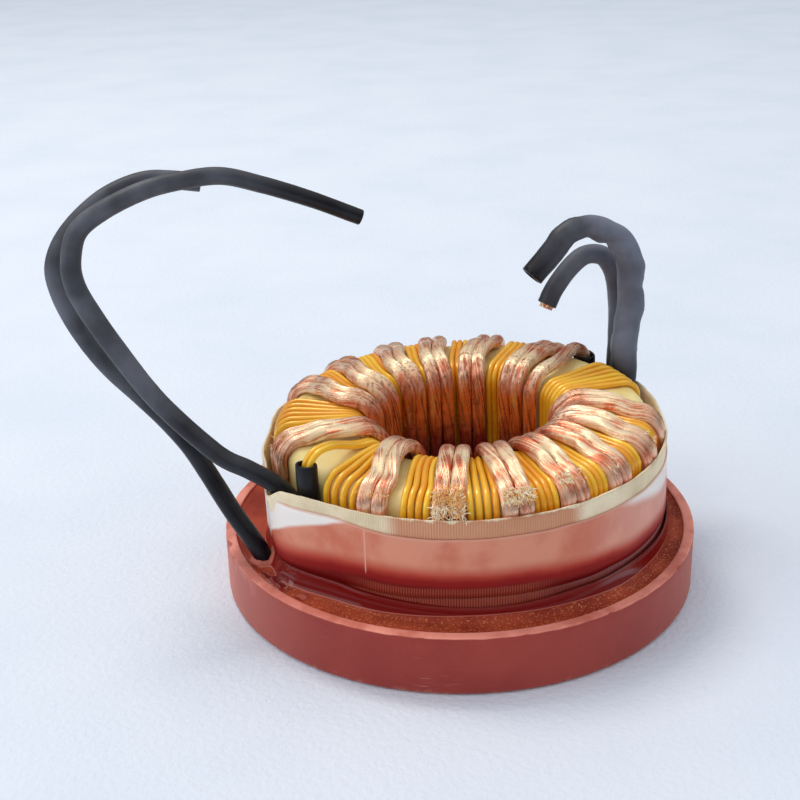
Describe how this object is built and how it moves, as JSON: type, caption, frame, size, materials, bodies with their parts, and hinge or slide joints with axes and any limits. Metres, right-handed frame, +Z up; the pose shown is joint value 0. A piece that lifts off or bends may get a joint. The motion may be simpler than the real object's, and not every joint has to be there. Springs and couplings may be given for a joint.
{
  "type": "toroidal inductor",
  "caption": "Potted toroidal inductor: a ring core wound with enamelled wire and litz bundles, taped round, set in a shallow resin-filled tray with sleeved leads.",
  "frame": {"origin": "centre of the tray's underside, on the surface that the part stands on", "axes": "+Z up along the tray's axis, -Y towards the front, +X to the right, where the two shorter leads leave"},
  "size_m": [0.1054, 0.08, 0.0706],
  "materials": {
    "tray_moulding": "satin moulding",
    "cast_resin": "glossy casting",
    "core_coat": "satin coat",
    "enamelled_wire": "clear amber enamel",
    "litz_copper": "fine bare strands",
    "crepe_paper": "ribbed crepe",
    "tape_film": "thin soft-gloss film",
    "end_sleeve": "matte tube",
    "lead_sleeve": "soft matte tube"
  },
  "bodies": {
    "root": {"potting_tray": "tray_moulding", "potting_resin": "cast_resin", "toroid_core": "core_coat", "enamel_winding": "enamelled_wire", "litz_winding": "litz_copper", "crepe_band": "crepe_paper", "film_band": "tape_film", "enamel_end_sleeve": "end_sleeve", "litz_end_sleeve": "end_sleeve", "lead_left_upper": "lead_sleeve", "lead_left_lower": "lead_sleeve", "lead_right_front": "lead_sleeve", "lead_right_rear": "lead_sleeve"}
  },
  "joints": []
}
